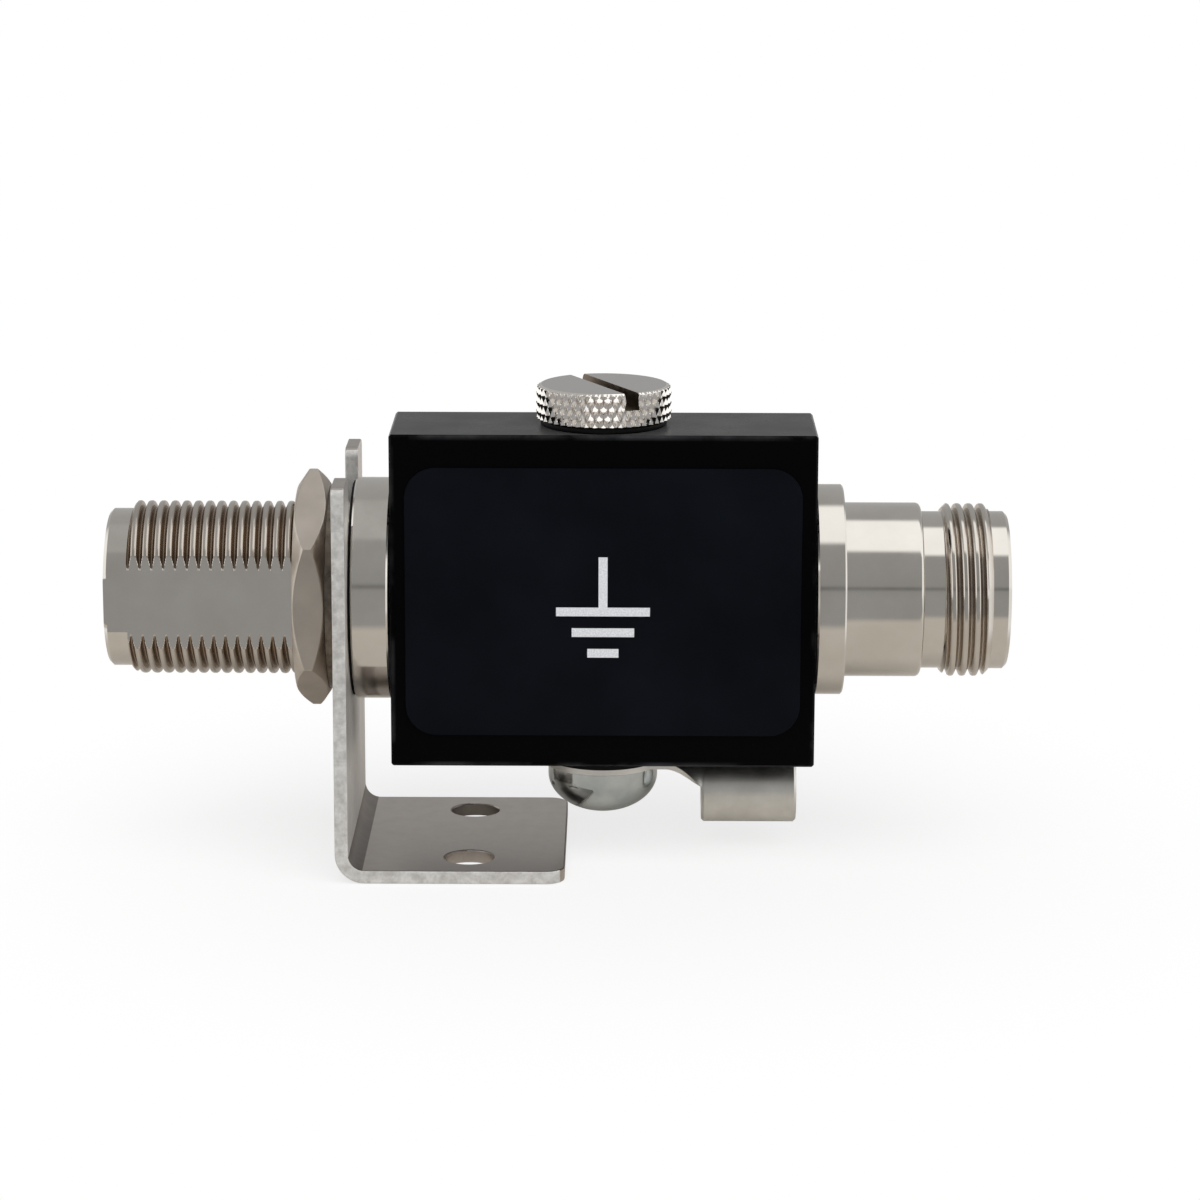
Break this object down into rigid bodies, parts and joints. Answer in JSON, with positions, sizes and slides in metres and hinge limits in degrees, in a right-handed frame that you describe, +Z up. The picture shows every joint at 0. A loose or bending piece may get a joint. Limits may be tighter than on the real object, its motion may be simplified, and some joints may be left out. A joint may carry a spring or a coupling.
{
  "type": "coaxial lightning arrestor",
  "caption": "Inline coaxial lightning arrestor: black block with a slotted gas tube cap, bulkhead and plain threaded jacks, slotted L bracket and crimp ground lug.",
  "frame": {"origin": "midway between the bracket's two holes, on the underside of its foot", "axes": "+X along the coaxial line towards the plain jack, +Z up from the foot, the label faces -Y"},
  "size_m": [0.0812, 0.0246, 0.0432],
  "materials": {
    "black_anodised": "satin black anodised",
    "label_film": "dark satin film",
    "nickel_plate": "bright nickel plating",
    "washer_steel": "plated steel",
    "zinc_sheet": "plain zinc plated sheet",
    "tinned_copper": "satin tin plating",
    "blue_zinc": "blue zinc plating",
    "black_rubber": "matt",
    "silver_plate": "silver plated",
    "ptfe": "white, waxy",
    "ceramic": "fired, unglazed"
  },
  "bodies": {
    "housing": {"housing_block": "black_anodised", "label_plate": "label_film", "bulkhead_jack": "nickel_plate", "plain_jack": "nickel_plate", "panel_gasket": "black_rubber", "mounting_bracket": "zinc_sheet", "cap_spring": "washer_steel", "tube_ceramic": "ceramic", "tube_upper_electrode": "silver_plate", "tube_lower_electrode": "silver_plate", "line_rod": "silver_plate", "bulkhead_contact": "silver_plate", "plain_contact": "silver_plate", "bulkhead_insulator": "ptfe", "plain_insulator": "ptfe"},
    "nut_carrier": {"lock_washer": "washer_steel"},
    "nut": {"jam_nut": "nickel_plate"},
    "cap_carrier": {"cap_seal": "black_rubber"},
    "cap": {"gas_tube_cap": "nickel_plate"},
    "ground_stack": {"ground_washer": "black_rubber"},
    "screw": {"ground_screw": "blue_zinc"},
    "lug": {"ground_lug": "tinned_copper"}
  },
  "joints": [
    {"name": "nut_travel", "type": "slide", "parent": "housing", "child": "nut_carrier", "axis": [-1, 0, 0], "range_m": [0, 0.01376]},
    {"name": "nut_turn", "type": "hinge", "parent": "nut_carrier", "child": "nut", "pos_m": [-0.0142, 0, 0.0244], "axis": [-1, 0, 0], "range_deg": [0, 4681]},
    {"name": "cap_lift", "type": "slide", "parent": "housing", "child": "cap_carrier", "axis": [0, 0, 1], "range_m": [0, 0.0055]},
    {"name": "cap_turn", "type": "hinge", "parent": "cap_carrier", "child": "cap", "pos_m": [0.012, 0, 0.0414], "axis": [0, 0, 1], "range_deg": [0, 1981]},
    {"name": "screw_drop", "type": "slide", "parent": "housing", "child": "ground_stack", "axis": [0, 0, -1], "range_m": [0, 0.002]},
    {"name": "screw_turn", "type": "hinge", "parent": "ground_stack", "child": "screw", "pos_m": [0.012, 0, 0.0074], "axis": [0, 0, -1], "range_deg": [0, 901]},
    {"name": "lug_swivel", "type": "hinge", "parent": "ground_stack", "child": "lug", "pos_m": [0.012, 0, 0.0084], "axis": [0, 0, 1], "range_deg": [-90, 90]}
  ],
  "couplings": [
    {"joint": "nut_turn", "follows": "nut_travel", "rad_per_m": 5936.9},
    {"joint": "cap_turn", "follows": "cap_lift", "rad_per_m": 6283.2},
    {"joint": "screw_turn", "follows": "screw_drop", "rad_per_m": 7854}
  ]
}
